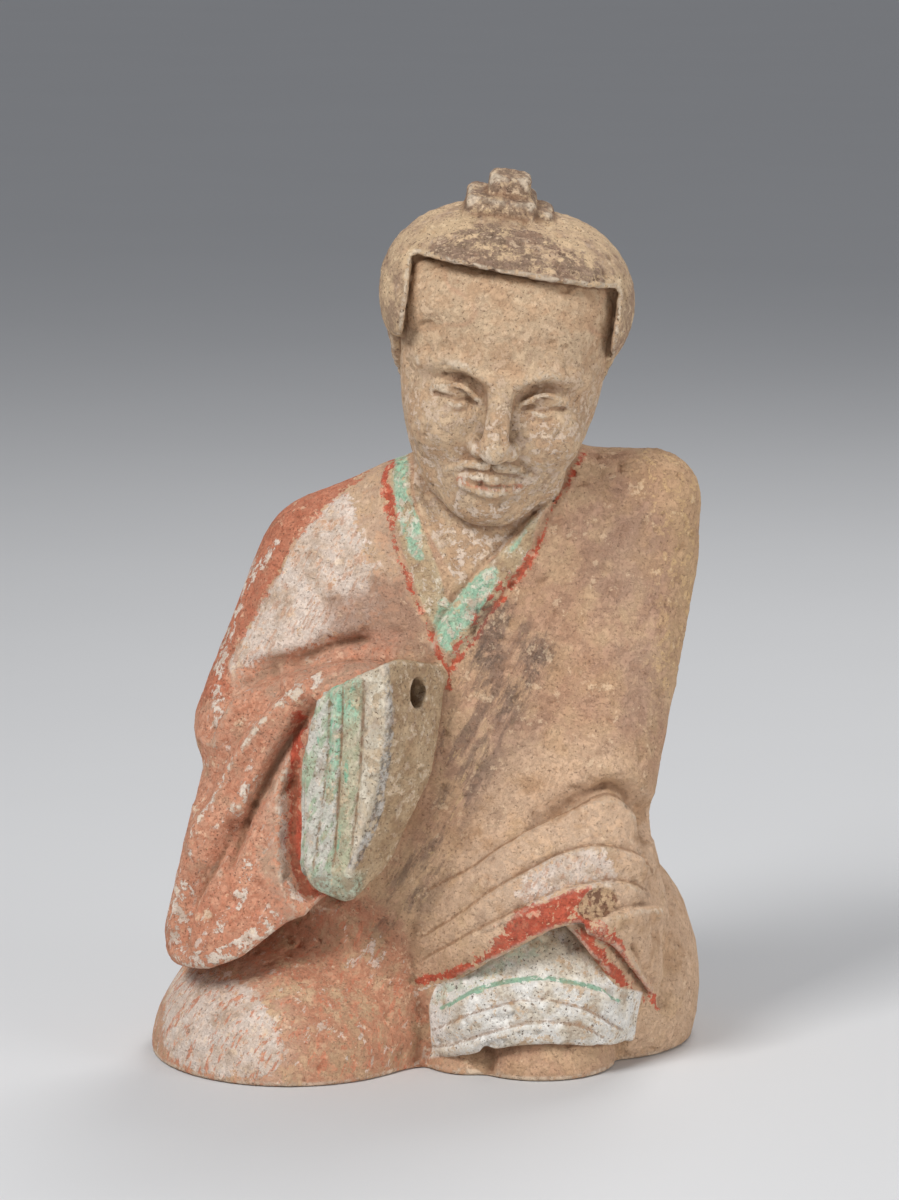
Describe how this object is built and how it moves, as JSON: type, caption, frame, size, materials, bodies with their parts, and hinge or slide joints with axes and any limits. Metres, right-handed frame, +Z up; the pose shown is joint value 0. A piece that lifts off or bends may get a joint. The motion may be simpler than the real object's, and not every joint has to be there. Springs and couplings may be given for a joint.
{
  "type": "seated pottery figure",
  "caption": "Seated figure in painted, fired clay that leans on a planted arm; the raised, sleeved hand has a round hole for a shaft.",
  "frame": {"origin": "middle of the overall box, on the ground under the figure", "axes": "+Z up; -Y is where the figure faces; +X is the viewer's right when looking at its front, the side of the planted arm"},
  "size_m": [0.2616, 0.1968, 0.42],
  "materials": {
    "painted_earthenware": "dry matt, worn paint on fired clay"
  },
  "bodies": {
    "root": {"seated_figure": "painted_earthenware"}
  },
  "joints": []
}
